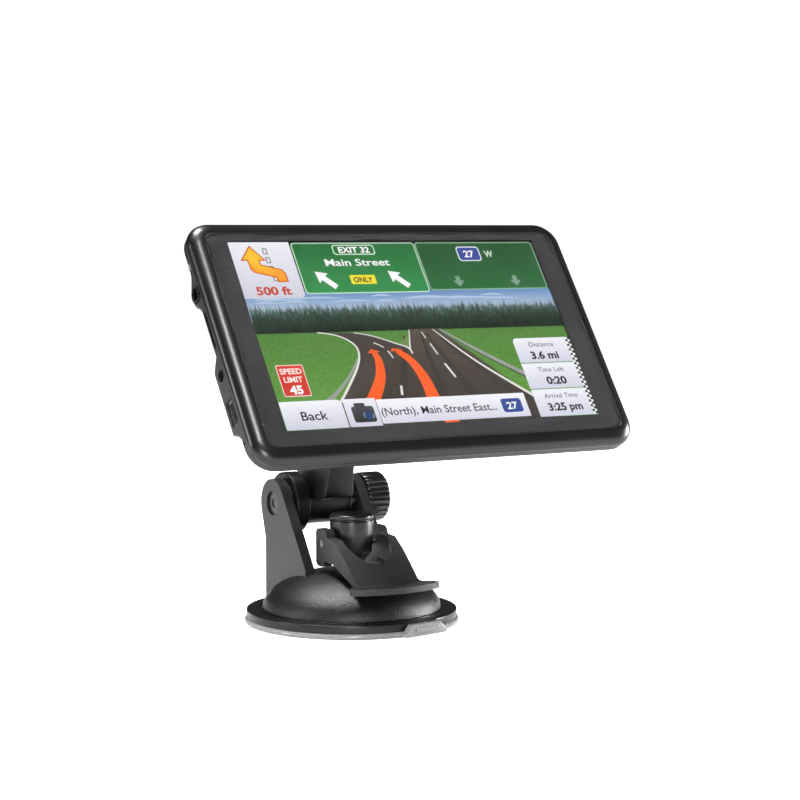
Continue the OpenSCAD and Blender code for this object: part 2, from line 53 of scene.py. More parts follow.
# case
CASE_W, CASE_H, CASE_R, CASE_DROP = 132.0, 82.6, 8.0, 1.1
CX, CY = CASE_W / 2 - CASE_R, CASE_H / 2 - CASE_R
GLASS_IN = 3.3
BEZEL_D = 3.9
EDGE_D, MID_D = 7.0, 12.5
JACK_Y, JACK_Z, AV_Y, USB_Y = 18.2, -6.6, -9.8, -22.0
SLOT_Y, CARD_Z = 4.8, -5.05
BUTTON_X, SPEAKER, WALL = 46.0, (31.0, 10.6), 1.2
SCREW_X, SCREW_Y, HOOK_X = 60.8, 36.5, 18
# height, depth and radius of the small round holes in the left wall
MIC_HOLE, RESET_HOLE = (31.2, -5.5, 0.58), (-33, -5.4, 0.5)
# fork and arm
FORK_X, ARM_T = 15.64, 3.37
PIV = (25.0, 36.0)
BARREL_R = 7.5
# base
CUP_R, CUP_T, FLANGE_R, FLANGE_Z = 34.4, 1.8, 33.72, 4.28
DOME_R, DOME_H = 28.63, 12.95
POST_R, SHAFT_R = 7.0, 4.2
KNOB_R, RIBS, GROOVE = 8.26, 26, 0.55
# turns an axis along Z to lie along X, and the same about the arm's pivot
ACROSS = Matrix.Rotation(math.radians(90), 4, "Y")
ON_PIVOT = Matrix.Translation((0, PIV[0], PIV[1])) @ ACROSS
# stand an outline drawn in x and y facing along X, and facing along Y
SIDEWAYS = Matrix(((0, 0, 1, 0), (1, 0, 0, 0), (0, 1, 0, 0), (0, 0, 0, 1)))
UPWARDS = Matrix(((1, 0, 0, 0), (0, 0, 1, 0), (0, 1, 0, 0), (0, 0, 0, 1)))


# ---------------------------------------------------------------- camera

CAM_AT = (-331.55, -588.56, 125.12)
CAM_AZ, CAM_EL, CAM_LENS = -30.71, 4.59, 95.69


def add_camera():
    data = bpy.data.cameras.new("camera")
    data.lens = CAM_LENS
    data.sensor_width = 36.0
    data.clip_start = 0.01
    data.clip_end = 50
    cam = bpy.data.objects.new("camera", data)
    bpy.context.scene.collection.objects.link(cam)
    az, el = math.radians(CAM_AZ), math.radians(CAM_EL)
    right = Vector((math.cos(az), math.sin(az), 0))
    back = Vector((math.sin(az) * math.cos(el), -math.cos(az) * math.cos(el), math.sin(el)))
    up = back.cross(right)
    turn = Matrix((right, up, back)).transposed().to_4x4()
    cam.matrix_world = Matrix.Translation(Vector(CAM_AT) * MM) @ turn
    bpy.context.scene.camera = cam


# ---------------------------------------------------------------- materials


def new_material(name):
    mat = bpy.data.materials.new(name)
    mat.use_nodes = True
    nodes, links = mat.node_tree.nodes, mat.node_tree.links
    return mat, nodes, links, nodes["Principled BSDF"]


def grey(level):
    """Linear grey from a display level of 0 to 255."""
    s = level / 255
    return s / 12.92 if s <= 0.04045 else ((s + 0.055) / 1.055) ** 2.4


def linear(rgb):
    return tuple(grey(c) for c in rgb)


def moulded(name, rgb, rough=0.4, grain=0.0, grain_size=0.35, vary=0.12, coat=0.0, spec=0.5, speckle=0.0):
    """Moulded plastic: fine grain as bump, with slow changes of colour and roughness."""
    mat, nodes, links, bsdf = new_material(name)
    place = nodes.new("ShaderNodeTexCoord")
    slow = nodes.new("ShaderNodeTexNoise")
    slow.inputs["Scale"].default_value = 90
    slow.inputs["Detail"].default_value = 4
    links.new(place.outputs["Object"], slow.inputs["Vector"])
    ramp = nodes.new("ShaderNodeValToRGB")
    low, high = ramp.color_ramp.elements
    low.color = tuple(c * (1 - vary) for c in rgb) + (1,)
    high.color = tuple(min(1, c * (1 + vary)) for c in rgb) + (1,)
    links.new(slow.outputs["Fac"], ramp.inputs["Fac"])
    links.new(ramp.outputs["Color"], bsdf.inputs["Base Color"])
    spread = nodes.new("ShaderNodeMapRange")
    spread.inputs["To Min"].default_value = rough * 0.88
    spread.inputs["To Max"].default_value = min(1, rough * 1.12)
    links.new(slow.outputs["Fac"], spread.inputs["Value"])
    links.new(spread.outputs["Result"], bsdf.inputs["Roughness"])
    bsdf.inputs["Specular IOR Level"].default_value = spec
    bsdf.inputs["Coat Weight"].default_value = coat
    bsdf.inputs["Coat Roughness"].default_value = 0.12
    if grain:
        fine = nodes.new("ShaderNodeTexNoise")
        fine.inputs["Scale"].default_value = 1000 / grain_size
        fine.inputs["Detail"].default_value = 3
        fine.inputs["Roughness"].default_value = 0.6
        links.new(place.outputs["Object"], fine.inputs["Vector"])
        bump = nodes.new("ShaderNodeBump")
        bump.inputs["Strength"].default_value = grain
        bump.inputs["Distance"].default_value = grain_size * MM * 0.35
        links.new(fine.outputs["Fac"], bump.inputs["Height"])
    if speckle:
        contrast = nodes.new("ShaderNodeMapRange")
        contrast.inputs["From Min"].default_value = 0.3
        contrast.inputs["From Max"].default_value = 0.7
        contrast.inputs["To Min"].default_value = 1 - speckle
        contrast.inputs["To Max"].default_value = 1 + speckle
        links.new(fine.outputs["Fac"], contrast.inputs["Value"])
        tint = nodes.new("ShaderNodeVectorMath")
        tint.operation = "SCALE"
        links.new(ramp.outputs["Color"], tint.inputs[0])
        links.new(contrast.outputs["Result"], tint.inputs["Scale"])
        links.new(tint.outputs["Vector"], bsdf.inputs["Base Color"])
        links.new(bump.outputs["Normal"], bsdf.inputs["Normal"])
    return mat


def metal(name, rgb, rough=0.3, brushed=0.15):
    mat, nodes, links, bsdf = new_material(name)
    bsdf.inputs["Metallic"].default_value = 1.0
    place = nodes.new("ShaderNodeTexCoord")
    noise = nodes.new("ShaderNodeTexNoise")
    noise.inputs["Scale"].default_value = 700
    links.new(place.outputs["Object"], noise.inputs["Vector"])
    ramp = nodes.new("ShaderNodeValToRGB")
    low, high = ramp.color_ramp.elements
    low.color = tuple(c * 0.85 for c in rgb) + (1,)
    high.color = tuple(min(1, c * 1.1) for c in rgb) + (1,)
    links.new(noise.outputs["Fac"], ramp.inputs["Fac"])
    links.new(ramp.outputs["Color"], bsdf.inputs["Base Color"])
    spread = nodes.new("ShaderNodeMapRange")
    spread.inputs["To Min"].default_value = rough * (1 - brushed)
    spread.inputs["To Max"].default_value = rough * (1 + brushed)
    links.new(noise.outputs["Fac"], spread.inputs["Value"])
    links.new(spread.outputs["Result"], bsdf.inputs["Roughness"])
    return mat


def clear(name, rgb, rough=0.05, ior=1.45, cloudy=0.0, through=1.0):
    """Glass or clear soft plastic; cloudy adds a faint uneven milkiness through the roughness."""
    mat, nodes, links, bsdf = new_material(name)
    bsdf.inputs["Transmission Weight"].default_value = through
    bsdf.inputs["IOR"].default_value = ior
    place = nodes.new("ShaderNodeTexCoord")
    noise = nodes.new("ShaderNodeTexNoise")
    noise.inputs["Scale"].default_value = 160
    links.new(place.outputs["Object"], noise.inputs["Vector"])
    spread = nodes.new("ShaderNodeMapRange")
    spread.inputs["To Min"].default_value = rough
    spread.inputs["To Max"].default_value = rough + cloudy
    links.new(noise.outputs["Fac"], spread.inputs["Value"])
    links.new(spread.outputs["Result"], bsdf.inputs["Roughness"])
    ramp = nodes.new("ShaderNodeValToRGB")
    low, high = ramp.color_ramp.elements
    low.color = tuple(c * 0.97 for c in rgb) + (1,)
    high.color = tuple(rgb) + (1,)
    links.new(noise.outputs["Fac"], ramp.inputs["Fac"])
    links.new(ramp.outputs["Color"], bsdf.inputs["Base Color"])
    return mat


def painted_picture():
    """The lit display: colours come from the mesh's paint attribute, leaf and grass grain from noise."""
    mat, nodes, links, bsdf = new_material("display_picture")
    paint = nodes.new("ShaderNodeAttribute")
    paint.attribute_name = "paint"
    place = nodes.new("ShaderNodeTexCoord")
    noise = nodes.new("ShaderNodeTexNoise")
    noise.inputs["Scale"].default_value = 1600
    noise.inputs["Detail"].default_value = 5
    noise.inputs["Roughness"].default_value = 0.75
    links.new(place.outputs["Object"], noise.inputs["Vector"])
    spread = nodes.new("ShaderNodeMapRange")
    spread.inputs["From Min"].default_value = 0.25
    spread.inputs["From Max"].default_value = 0.75
    spread.inputs["To Min"].default_value = -1
    spread.inputs["To Max"].default_value = 1
    links.new(noise.outputs["Fac"], spread.inputs["Value"])
    strength = nodes.new("ShaderNodeMath")
    strength.operation = "MULTIPLY_ADD"
    strength.inputs[2].default_value = 1.0
    links.new(spread.outputs["Result"], strength.inputs[0])
    links.new(paint.outputs["Alpha"], strength.inputs[1])
    tint = nodes.new("ShaderNodeVectorMath")
    tint.operation = "SCALE"
    links.new(paint.outputs["Color"], tint.inputs[0])
    links.new(strength.outputs["Value"], tint.inputs["Scale"])
    bsdf.inputs["Base Color"].default_value = (0.01, 0.01, 0.01, 1)
    bsdf.inputs["Roughness"].default_value = 0.6
    links.new(tint.outputs["Vector"], bsdf.inputs["Emission Color"])
    bsdf.inputs["Emission Strength"].default_value = 1.0
    return mat


M = {
    "bezel": moulded("bezel_plastic", linear((15, 15, 16)), rough=0.3, grain=0.04, grain_size=0.15, spec=0.5),
    "rear": moulded("rear_plastic", linear((32, 32, 33)), rough=0.42, grain=0.12, grain_size=0.2, spec=0.4),
    "jack": moulded("jack_plastic", linear((12, 12, 13)), rough=0.3, spec=0.4),
    "lens": moulded("lens_plastic", linear((150, 150, 146)), rough=0.2, coat=0.3),
    "clip": moulded("clip_plastic", linear((20, 20, 21)), rough=0.45, grain=0.15, grain_size=0.25, spec=0.3),
    "liner": moulded("liner_plastic", linear((226, 226, 222)), rough=0.5),
    "arm": moulded("arm_plastic", linear((11, 11, 12)), rough=0.38, grain=0.1, grain_size=0.22, spec=0.3),
    "teeth": moulded("teeth_plastic", linear((10, 10, 11)), rough=0.32, spec=0.5),
    "fork": moulded("fork_plastic", linear((40, 40, 41)), rough=0.36, grain=0.1, grain_size=0.22, spec=0.3),
    "fibre": moulded("fibre_washer", linear((120, 104, 84)), rough=0.8, grain=0.4, grain_size=0.4, vary=0.25),
    "knob": moulded("knob_plastic", linear((26, 26, 27)), rough=0.24, grain=0.08, grain_size=0.2, spec=0.6),
    "dome": moulded(
        "dome_plastic", linear((17, 17, 18)), rough=0.36, grain=1.0, grain_size=0.5, spec=0.5, speckle=0.6),
    "flange": moulded("flange_plastic", linear((20, 20, 21)), rough=0.3, grain=0.05, spec=0.4),
    "post": moulded("post_plastic", linear((28, 28, 29)), rough=0.3, spec=0.5),
    "lever": moulded(
        "lever_plastic", linear((38, 38, 39)), rough=0.4, grain=1.0, grain_size=0.5, spec=0.45, speckle=0.6),
    "disc": moulded("disc_plastic", linear((110, 112, 110)), rough=0.35),
    "board": moulded("board_resist", (0.02, 0.12, 0.05), rough=0.4, vary=0.3),
    "chips": moulded("chip_resin", linear((28, 28, 28)), rough=0.55, grain=0.2),
    "battery": moulded("battery_wrap", linear((120, 126, 136)), rough=0.35, vary=0.05),
    "ceramic": moulded("antenna_ceramic", linear((196, 186, 160)), rough=0.7, grain=0.3),
    "card": moulded("card_plastic", linear((24, 24, 26)), rough=0.5, grain=0.2),
    "plate": metal("pressed_steel", (0.62, 0.62, 0.64), rough=0.32),
    "backlight": metal("tray_steel", (0.7, 0.7, 0.7), rough=0.4),
    "screws": metal("screw_steel", (0.45, 0.45, 0.46), rough=0.28),
    "bolt": metal("blackened_steel", (0.09, 0.09, 0.095), rough=0.34),
    "brass": metal("insert_brass", (0.75, 0.56, 0.25), rough=0.3),
    "spring": metal("spring_wire", (0.6, 0.6, 0.62), rough=0.25),
    # low-index glass that reflects little; the grey of the border under it is a painted reflection instead
    "glass": clear("touch_glass", (1.0, 1.0, 1.0), rough=0.03, ior=1.14),
    "cup": clear("cup_vinyl", (0.5, 0.52, 0.51), rough=0.12, ior=1.45, cloudy=0.1, through=0.5),
    # glass border: black print under the glass, coloured mid grey (70) as a painted reflection of a bright
    # room in the glass
    "border_with_reflection": moulded("border_painted_reflection", linear((70, 70, 72)), rough=0.6, vary=0.04, spec=0.1),
    "cell": moulded("display_cell", linear((20, 22, 21)), rough=0.4, vary=0.05),
    "picture": painted_picture(),
}


# ---------------------------------------------------------------- mesh helpers


def finish_piece(obj, mat, body, nodes=(), smooth=35):
    obj.data.materials.clear()
    obj.data.materials.append(M[mat])
    for face in obj.data.polygons:
        face.material_index = 0
    if smooth:
        obj.data.shade_smooth()
        bpy.context.view_layer.objects.active = obj
        obj.select_set(True)
        bpy.ops.object.shade_smooth_by_angle(angle=math.radians(smooth))
        obj.select_set(False)
    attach(obj, body)
    if nodes:
        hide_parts(*nodes)
    return obj


def object_from(name, bm, place=WORLD):
    """A new object from a bmesh in millimetres, put through place."""
    bmesh.ops.transform(bm, matrix=Matrix.Scale(MM, 4) @ place, verts=bm.verts)
    bmesh.ops.recalc_face_normals(bm, faces=bm.faces)
    mesh = bpy.data.meshes.new(name)
    bm.to_mesh(mesh)
    bm.free()
    obj = bpy.data.objects.new(name, mesh)
    bpy.context.scene.collection.objects.link(obj)
    return obj


def loft(bm, loops, close_first=False, close_last=False, closed=True):
    """Joins loops of equally many points with quads."""
    rows = [[bm.verts.new(p) for p in loop] for loop in loops]
    n = len(rows[0])
    for a, b in zip(rows, rows[1:]):
        for i in range(n if closed else n - 1):
            j = (i + 1) % n
            bm.faces.new((a[i], a[j], b[j], b[i]))
    if close_first:
        bm.faces.new(rows[0][::-1])
    if close_last:
        bm.faces.new(rows[-1])
    return rows


def revolve(bm, section, place=WORLD, steps=96):
    """Turns a section of (radius, height) about Z; points on the axis close it."""
    rings = []
    for r, z in section:
        if r < 1e-6:
            rings.append([bm.verts.new(place @ Vector((0, 0, z)))])
        else:
            rings.append([
                bm.verts.new(place @ Vector((r * math.cos(t), r * math.sin(t), z)))
                for t in (2 * math.pi * i / steps for i in range(steps))
            ])
    for a, b in zip(rings, rings[1:]):
        for i in range(steps):
            j = (i + 1) % steps
            if len(a) == 1 and len(b) == 1:
                continue
            if len(a) == 1:
                bm.faces.new((a[0], b[j], b[i]))
            elif len(b) == 1:
                bm.faces.new((a[i], a[j], b[0]))
            else:
                bm.faces.new((a[i], a[j], b[j], b[i]))


def rounded(section, radius=0.4, steps=4, closed=False):
    """Rounds the corners of a section of (radius, height) points."""
    out = []
    n = len(section)
    for i, p in enumerate(section):
        if not closed and i in (0, n - 1):
            out.append(tuple(p))
            continue
        p = Vector(p)
        a, b = Vector(section[i - 1]) - p, Vector(section[(i + 1) % n]) - p
        cut = min(radius, a.length * 0.45, b.length * 0.45)
        if cut < 1e-4:
            out.append(tuple(p))
            continue
        start, end = p + a.normalized() * cut, p + b.normalized() * cut
        for k in range(steps + 1):
            t = k / steps
            q = start * (1 - t) ** 2 + p * 2 * t * (1 - t) + end * t * t
            out.append((q.x, q.y))
    return out


def arc(cx, cy, r, start, end, steps=12):
    return [
        (cx + r * math.cos(math.radians(start + (end - start) * i / steps)),
         cy + r * math.sin(math.radians(start + (end - start) * i / steps)))
        for i in range(steps + 1)
    ]


def prism(bm, outline, low, high, place=WORLD, bevel=0.0, segments=3):
    """Extrudes an outline from low to high, with rounded rims."""
    def at(points, z):
        return [place @ Vector((x, y, z)) for x, y in points]
    if not bevel:
        loft(bm, [at(outline, low), at(outline, high)], True, True)
        return
    levels = []
    for k in range(segments + 1):
        t = math.radians(90 * k / segments)
        levels.append((bevel * (1 - math.sin(t)), low + bevel * (1 - math.cos(t))))
    levels += [(inset, high + low - z) for inset, z in reversed(levels)]
    loft(bm, [at(shrink(outline, inset), z) for inset, z in levels], True, True)


def shrink(outline, d):
    """Moves an outline's points inwards by d."""
    if d < 1e-9:
        return list(outline)
    n = len(outline)
    area = sum(
        outline[i][0] * outline[(i + 1) % n][1] - outline[(i + 1) % n][0] * outline[i][1]
        for i in range(n))
    side = 1 if area > 0 else -1
    out = []
    for i in range(n):
        p, a, b = Vector(outline[i]), Vector(outline[i - 1]), Vector(outline[(i + 1) % n])
        u, v = (p - a), (b - p)
        if u.length < 1e-6 or v.length < 1e-6:
            out.append(tuple(p))
            continue
        u.normalize()
        v.normalize()
        nu, nv = Vector((-u.y, u.x)) * side, Vector((-v.y, v.x)) * side
        mid = nu + nv
        mid = mid / max(mid.dot(nu), 0.35)
        out.append(tuple(p + mid * d))
    return out


def box_mesh(bm, a, b, place=WORLD, bevel=0.0):
    outline = [(a[0], a[1]), (b[0], a[1]), (b[0], b[1]), (a[0], b[1])]
    if bevel:
        outline = rounded(outline, bevel, 3, closed=True)
    prism(bm, outline, a[2], b[2], place, bevel * 0.6, 2)


def rrect(hx, hy, r, steps=8, drop=0.0):
    """Rounded rectangle whose corner centres lie at hx, hy."""
    out = []
    for sx, sy, start in ((1, 1, 0), (-1, 1, 90), (-1, -1, 180), (1, -1, 270)):
        for x, y in arc(sx * hx, sy * hy - drop, r, start, start + 90, steps):
            out.append((x, y))
    return out


def cut(obj, cutters, place=WORLD):
    """Takes each closed cutter away from obj."""
    for k, cutter_bm in enumerate(cutters):
        tool = object_from(f"cutter_{k}", cutter_bm, place)
        mod = obj.modifiers.new(f"cut_{k}", "BOOLEAN")
        mod.operation = "DIFFERENCE"
        mod.solver = "MANIFOLD"
        mod.object = tool
        apply_modifiers(obj)
        bpy.data.objects.remove(tool)


def apply_modifiers(obj):
    bpy.context.view_layer.update()
    graph = bpy.context.evaluated_depsgraph_get()
    mesh = bpy.data.meshes.new_from_object(obj.evaluated_get(graph))
    obj.modifiers.clear()
    old = obj.data
    obj.data = mesh
    bpy.data.meshes.remove(old)


def soften(name, node, mat, body, width=0.3, angle=35, segments=2):
    """A copy of a CAD node whose hard edges are rounded over, standing for that node."""
    bm = bmesh.new()
    bm.from_mesh(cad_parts[node].data)
    bmesh.ops.remove_doubles(bm, verts=bm.verts, dist=1e-6)
    bmesh.ops.dissolve_limit(
        bm, angle_limit=math.radians(1.0), verts=bm.verts, edges=bm.edges, delimit=set())
    mesh = bpy.data.meshes.new(name)
    bm.to_mesh(mesh)
    bm.free()
    obj = bpy.data.objects.new(name, mesh)
    bpy.context.scene.collection.objects.link(obj)
    mod = obj.modifiers.new("edges", "BEVEL")
    mod.width = width * MM
    mod.segments = segments
    mod.limit_method = "ANGLE"
    mod.angle_limit = math.radians(angle)
    mod.use_clamp_overlap = True
    apply_modifiers(obj)
    finish_piece(obj, mat, body, (node,))
    even = obj.modifiers.new("even_normals", "WEIGHTED_NORMAL")
    even.keep_sharp = True
    return obj


def dress(node, mat):
    """A CAD node whose shape is right keeps its mesh and takes a finished material."""
    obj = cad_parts[node]
    for s in obj.material_slots:
        s.material = M[mat]
    if not obj.material_slots:
        obj.data.materials.append(M[mat])


# ---------------------------------------------------------------- the unit


def bezel():
    """Frame round the glass: thin inner lip, convex face, straight side and a parting line."""
    bm = bmesh.new()
    section = [(GLASS_IN, -0.9), (GLASS_IN, -0.1)]
    section += arc(GLASS_IN + 0.2, -0.1, 0.2, 180, 90, 4)[1:]
    width, depth = CASE_R - GLASS_IN - 0.2, 3.3
    for i in range(1, 17):
        t = math.radians(90 * i / 16)
        section.append((GLASS_IN + 0.2 + width * math.sin(t), 0.1 - depth * (1 - math.cos(t))))
    section += [(CASE_R, -3.5), (CASE_R - 0.05, -3.62), (CASE_R - 0.2, -3.7), (CASE_R - 0.3, -BEZEL_D)]
    section += [(6.6, -BEZEL_D), (6.6, -2.0), (0.8, -2.0), (0.8, -0.9)]
    loops = [[Vector((x, y, z)) for x, y in rrect(CX, CY, r, 14, CASE_DROP)] for r, z in section]
    rows = [[bm.verts.new(p) for p in loop] for loop in loops]
    n = len(rows[0])
    for k in range(len(rows)):
        a, b = rows[k], rows[(k + 1) % len(rows)]
        for i in range(n):
            j = (i + 1) % n
            bm.faces.new((a[i], a[j], b[j], b[i]))
    obj = object_from("bezel_frame", bm, UNIT)
    finish_piece(obj, "bezel", "unit", ("front_bezel",))


def glass_and_mask():
    half_x, half_y, r = CX, CY, GLASS_IN - 0.12
    bm = bmesh.new()
    prism(bm, rrect(half_x, half_y, r, 6, CASE_DROP), -0.22, -0.04, UNIT, 0.05, 2)
    finish_piece(object_from("glass_sheet", bm), "glass", "unit", ("touch_glass",))
    bm = bmesh.new()
    outer = rrect(half_x, half_y, r, 6, CASE_DROP)
    win_x, win_y = 54.3, 32.7
    inner = [(max(-win_x, min(win_x, x * 2)), max(-win_y, min(win_y, (y + CASE_DROP) * 2))) for x, y in outer]
    low, high = -0.36, -0.28
    frame_round = ((outer, low), (outer, high), (inner, high), (inner, low), (outer, low))
    loft(bm, [[UNIT @ Vector((x, y, z)) for x, y in pts] for pts, z in frame_round])
    bmesh.ops.remove_doubles(bm, verts=bm.verts, dist=1e-5)
    # the border's grey is a painted reflection laid over black print
    finish_piece(object_from("glass_border", bm), "border_with_reflection", "unit", ())


def step(x, a, b):
    t = max(0.0, min(1.0, (x - a) / (b - a)))
    return t * t * (3 - 2 * t)


def rear_depth(x, y):
    """Depth of the rear cover behind the glass at a point of the unit."""
    mid = step(53 - abs(x), 0, 5) * step(30.2 - abs(y + 1), 0, 3.4)
    depth = EDGE_D + (MID_D - EDGE_D) * mid
    upper = step(19.0 + 6.2 - y, 0, 6.0) * step(y - 12.0, 0, 4.6)
    lower = step(-3.6 - y, 0, 3.4) * step(y + 30.4, 0, 3.0)
    run = step(-44 - x, -6, 6)
    depth = max(depth, EDGE_D + 3.3 * upper * run)
    depth = max(depth, EDGE_D + 3.9 * lower * run)
    return depth


def case_ring(inset):
    """Points round the case, inset from its outside, equally many for every inset."""
    hx, hy, r = CX, CY, CASE_R - 0.2 - inset
    if r < 0.6:
        hx, hy, r = CX - (0.6 - r), CY - (0.6 - r), 0.6
    pts = []
    for q, (sx, sy, start) in enumerate(((1, 1, 0), (-1, 1, 90), (-1, -1, 180), (1, -1, 270))):
        pts += arc(sx * hx, sy * hy - CASE_DROP, r, start, start + 90, 7)
        span, count = (2 * hx, round(2 * CX / 1.7)) if q in (0, 2) else (2 * hy, round(2 * CY / 1.7))
        dx, dy = ((-1, 0), (0, -1), (1, 0), (0, 1))[q]
        x0, y0 = pts[-1]
        pts += [(x0 + dx * span * k / count, y0 + dy * span * k / count) for k in range(1, count)]
    return pts


def shell_loops(wall):
    """Rings of the rear cover's skin from its front rim to its middle, moved inwards by wall."""
    base = case_ring(wall)
    floor = [rear_depth(x, y) - wall for x, y in case_ring(0)]
    round_r = 1.3
    front = -BEZEL_D - 0.05
    loops = []
    if not wall:
        loops.append([Vector((x, y, front)) for x, y in case_ring(0.3)])
        front -= 0.25
    loops.append([Vector((x, y, front)) for x, y in base])
    for k in range(1, 5):
        loops.append([
            Vector((x, y, front + (round_r - d - front) * k / 4)) for (x, y), d in zip(base, floor)])
    for k in range(1, 6):
        t = math.radians(90 * k / 5)
        pts = case_ring(wall + round_r * (1 - math.cos(t)))
        loops.append([Vector((x, y, round_r - d - round_r * math.sin(t))) for (x, y), d in zip(pts, floor)])
    inset = wall + round_r
    while inset < CY + CASE_R - 2.6:
        inset += 1.1
        pts = case_ring(inset)
        blend = step(inset, wall + round_r, wall + round_r + 2.5)
        loops.append([
            Vector((x, y, -((rear_depth(x, y) - wall) * blend + d * (1 - blend))))
            for (x, y), d in zip(pts, floor)])
    return loops


def rear_shell():
    """Rear cover: side wall, rounded edge and the raised middle with its two connector pods."""
    bm = bmesh.new()
    outer = loft(bm, shell_loops(0.0))
    inner = loft(bm, shell_loops(WALL))
    n = len(outer[0])
    for i in range(n):
        j = (i + 1) % n
        bm.faces.new((outer[0][i], inner[0][i], inner[0][j], outer[0][j]))
    for rows in (outer, inner):
        cap = bm.faces.new(rows[-1])
        cap.normal_update()
        bmesh.ops.triangulate(bm, faces=[cap])
    obj = object_from("rear_shell", bm, UNIT)

    def bore(tool, y, z, r, steps=32):
        place = Matrix.Translation((-CASE_W / 2 - 1, y, z)) @ ACROSS
        revolve(tool, [(0, 0), (r, 0), (r, 3.2), (0, 3.2)], place, steps)

    sockets = bmesh.new()
    bore(sockets, JACK_Y, JACK_Z, 2.75, 48)
    bore(sockets, AV_Y, JACK_Z, 1.8)
    bore(sockets, *MIC_HOLE, 16)
    bore(sockets, *RESET_HOLE, 16)
    usb, card_slot, lens = (
        (USB_Y, JACK_Z - 0.05, 4.0, 2.05), (SLOT_Y, CARD_Z + 0.05, 6.2, 0.65), (27.1, -5.7, 0.9, 0.5))
    for y, z, hy, hz in (usb, card_slot, lens):
        corners = [(y - hy, z - hz), (y + hy, z - hz), (y + hy, z + hz), (y - hy, z + hz)]
        prism(sockets, rounded(corners, 0.5, 4, True), -CASE_W / 2 - 1, -CASE_W / 2 + 2.4, SIDEWAYS)
    x0, x1 = BUTTON_X - 4.6, BUTTON_X + 4.6
    prism(sockets, rounded([(x0, -5.9), (x1, -5.9), (x1, -4.2), (x0, -4.2)], 0.6, 4, True), 37, 42, UPWARDS)
    backs = bmesh.new()
    for count, out in ((1, 0.0), (6, 3.2), (12, 6.4)):
        for k in range(count):
            t = 2 * math.pi * k / count
            place = Matrix.Translation((SPEAKER[0] + out * math.cos(t), SPEAKER[1] + out * math.sin(t), 0))
            revolve(backs, [(0, -14), (0.7, -14), (0.7, -10), (0, -10)], place, 16)
    for sx in (-1, 1):
        for sy in (-1, 1):
            place = Matrix.Translation((sx * SCREW_X, sy * SCREW_Y - CASE_DROP, 0))
            revolve(backs, [(0, -9), (1.7, -9), (1.7, -6.2), (0.85, -6.2), (0.85, -4), (0, -4)], place, 32)
        box_mesh(backs, (sx * HOOK_X - 3.2, -23.2, -14), (sx * HOOK_X + 3.2, -19.6, -10))
    box_mesh(backs, (-6.4, 22.6, -14), (6.4, 24.8, -10))
    cut(obj, [sockets, backs], UNIT)
    finish_piece(obj, "rear", "unit", ("rear_cover",), smooth=40)


# ---------------------------------------------------------------- the display's picture


# height of a capital in the built-in face, for a size of one
CAP = 0.73


class Picture:
    """Flat shapes stacked just under the glass; each call lies over the ones before it."""

    LOW, STEP = -0.62, 0.011

    def __init__(self):
        self.bm = bmesh.new()
        self.paint = self.bm.verts.layers.float_color.new("paint")
        self.level = 0

    def over(self):
        self.level += 1

    def shape(self, points, colours, noise=0.0):
        z = self.LOW + self.STEP * self.level
        if isinstance(colours, tuple):
            colours = [colours] * len(points)
        verts = []
        for (x, y), c in zip(points, colours):
            v = self.bm.verts.new((x, y, z))
            v[self.paint] = (*linear(c), noise)
            verts.append(v)
        if len(verts) > 4:
            face = self.bm.faces.new(verts)
            face.normal_update()
            bmesh.ops.triangulate(self.bm, faces=[face])
        else:
            self.bm.faces.new(verts)

    def rect(self, x0, y0, x1, y1, top, bottom=None, noise=0.0):
        bottom = bottom or top
        self.shape([(x0, y0), (x1, y0), (x1, y1), (x0, y1)], [bottom, bottom, top, top], noise)

    def panel(self, x0, y0, x1, y1, radii, top, bottom=None):
        """Rounded rectangle; radii run from the top right, anticlockwise."""
        points = []
        corners = ((x1, y1, -1, -1, 0), (x0, y1, 1, -1, 90), (x0, y0, 1, 1, 180), (x1, y0, -1, 1, 270))
        for (cx, cy, sx, sy, start), r in zip(corners, radii):
            points += arc(cx + sx * r, cy + sy * r, r, start, start + 90, 6) if r else [(cx, cy)]
        bottom = bottom or top
        colours = [tuple(a + (b - a) * (y1 - y) / (y1 - y0) for a, b in zip(top, bottom)) for x, y in points]
        self.shape(points, colours)

    def band(self, points, widths, colour, noise=0.0):
        """A strip along points, as wide as widths says at each."""
        if not isinstance(widths, (list, tuple)):
            widths = [widths] * len(points)
        left, right = [], []
        for i, p in enumerate(points):
            a, b = Vector(points[max(0, i - 1)]), Vector(points[min(len(points) - 1, i + 1)])
            d = (b - a).normalized()
            n = Vector((-d.y, d.x)) * widths[i] / 2
            left.append((p[0] + n.x, p[1] + n.y))
            right.append((p[0] - n.x, p[1] - n.y))
        for i in range(len(points) - 1):
            self.shape([left[i], left[i + 1], right[i + 1], right[i]], colour, noise)

    def write(self, words, x0, x1, base, cap, colour, bold=0.03):
        """Plain lettering in the built-in face, from x0 to x1 on the line at base, cap high."""
        curve = bpy.data.curves.new("line", "FONT")
        curve.body = words
        curve.offset = bold
        curve.resolution_u = 3
        obj = bpy.data.objects.new("line", curve)
        bpy.context.scene.collection.objects.link(obj)
        bpy.context.view_layer.update()
        graph = bpy.context.evaluated_depsgraph_get()
        mesh = bpy.data.meshes.new_from_object(obj.evaluated_get(graph))
        low = min(v.co.x for v in mesh.vertices)
        wide = max(v.co.x for v in mesh.vertices) - low
        z = self.LOW + self.STEP * self.level
        verts = []
        for old in mesh.vertices:
            v = self.bm.verts.new((x0 + (old.co.x - low) * (x1 - x0) / wide, base + old.co.y * cap / CAP, z))
            v[self.paint] = (*linear(colour), 0.0)
            verts.append(v)
        for face in mesh.polygons:
            self.bm.faces.new([verts[i] for i in face.vertices])
        bpy.data.objects.remove(obj)
        bpy.data.curves.remove(curve)
        bpy.data.meshes.remove(mesh)

    def finish(self):
        obj = object_from("display_picture", self.bm, UNIT)
        for p in obj.data.polygons:
            p.use_smooth = False
        return obj


